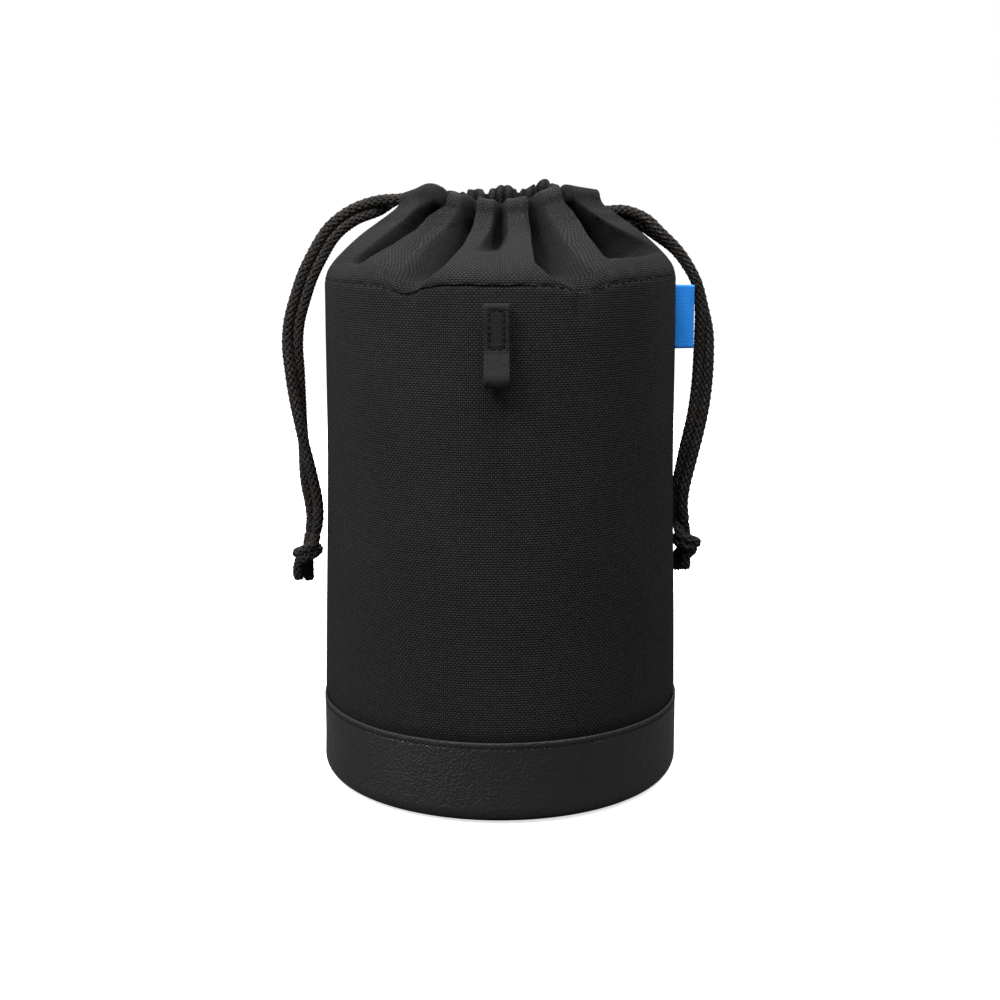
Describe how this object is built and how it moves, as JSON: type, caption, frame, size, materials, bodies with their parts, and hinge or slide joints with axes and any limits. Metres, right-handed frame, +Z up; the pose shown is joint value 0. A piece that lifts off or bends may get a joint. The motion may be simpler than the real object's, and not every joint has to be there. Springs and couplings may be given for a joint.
{
  "type": "lens pouch",
  "caption": "Round padded drawstring pouch in black woven cloth with a leather foot, gathered mouth, knotted cord pulls, a ribbon loop and a plain side label.",
  "frame": {"origin": "centre of the flat underside, on the surface the pouch stands on", "axes": "+Z up along the pouch axis, -Y towards the viewer (the side with the ribbon loop), +X to the viewer's right (the side with the label)"},
  "size_m": [0.1344, 0.115, 0.18],
  "materials": {
    "woven_fabric": "matt black plain weave",
    "foam": "soft closed-cell foam",
    "lining_cloth": "smooth black lining",
    "synthetic_leather": "fine pebble grain, satin",
    "board": "grey-brown fibre board",
    "thread": "twisted polyester thread",
    "ribbon": "woven ribbon",
    "label_cloth": "plain blue woven label",
    "cord_yarn": "braided cord"
  },
  "bodies": {
    "pouch": {"base_band": "synthetic_leather", "base_disc": "synthetic_leather", "base_board": "board", "base_pad": "foam", "lining_floor": "lining_cloth", "outer_panel": "woven_fabric", "padding": "foam", "lining": "lining_cloth", "band_stitch": "thread", "shoulder_stitch": "thread", "loop_tab": "ribbon", "loop_stitch": "thread"},
    "front_lip": {"front_collar": "woven_fabric", "front_casing": "woven_fabric", "front_hem_stitch": "thread", "left_run_front": "cord_yarn", "right_run_front": "cord_yarn"},
    "back_lip": {"back_collar": "woven_fabric", "back_casing": "woven_fabric", "back_hem_stitch": "thread", "left_run_back": "cord_yarn", "right_run_back": "cord_yarn"},
    "left_pull": {"left_strand_front": "cord_yarn", "left_strand_back": "cord_yarn", "left_knot": "cord_yarn"},
    "right_pull": {"right_strand_front": "cord_yarn", "right_strand_back": "cord_yarn", "right_knot": "cord_yarn"},
    "loop": {"hang_loop": "ribbon"},
    "label": {"side_label": "label_cloth"}
  },
  "joints": [
    {"name": "mouth_front", "type": "slide", "parent": "pouch", "child": "front_lip", "axis": [0, -0.9, 0.4359], "range_m": [0, 0.022]},
    {"name": "mouth_back", "type": "slide", "parent": "pouch", "child": "back_lip", "axis": [0, 0.9, 0.4359], "range_m": [0, 0.022]},
    {"name": "left_pull_swing", "type": "hinge", "parent": "pouch", "child": "left_pull", "pos_m": [-0.031, 0, 0.1772], "axis": [0, 1, 0], "range_deg": [0, 75]},
    {"name": "right_pull_swing", "type": "hinge", "parent": "pouch", "child": "right_pull", "pos_m": [0.031, 0, 0.1735], "axis": [0, -1, 0], "range_deg": [0, 75]},
    {"name": "loop_lift", "type": "hinge", "parent": "pouch", "child": "loop", "pos_m": [0, -0.05467, 0.1349], "axis": [-1, 0, 0], "range_deg": [0, 75]},
    {"name": "label_bend", "type": "hinge", "parent": "pouch", "child": "label", "pos_m": [0.05426, 0, 0.14135], "axis": [0, 0, 1], "range_deg": [-80, 0]}
  ],
  "couplings": [
    {"joint": "mouth_back", "follows": "mouth_front", "ratio": 1}
  ]
}
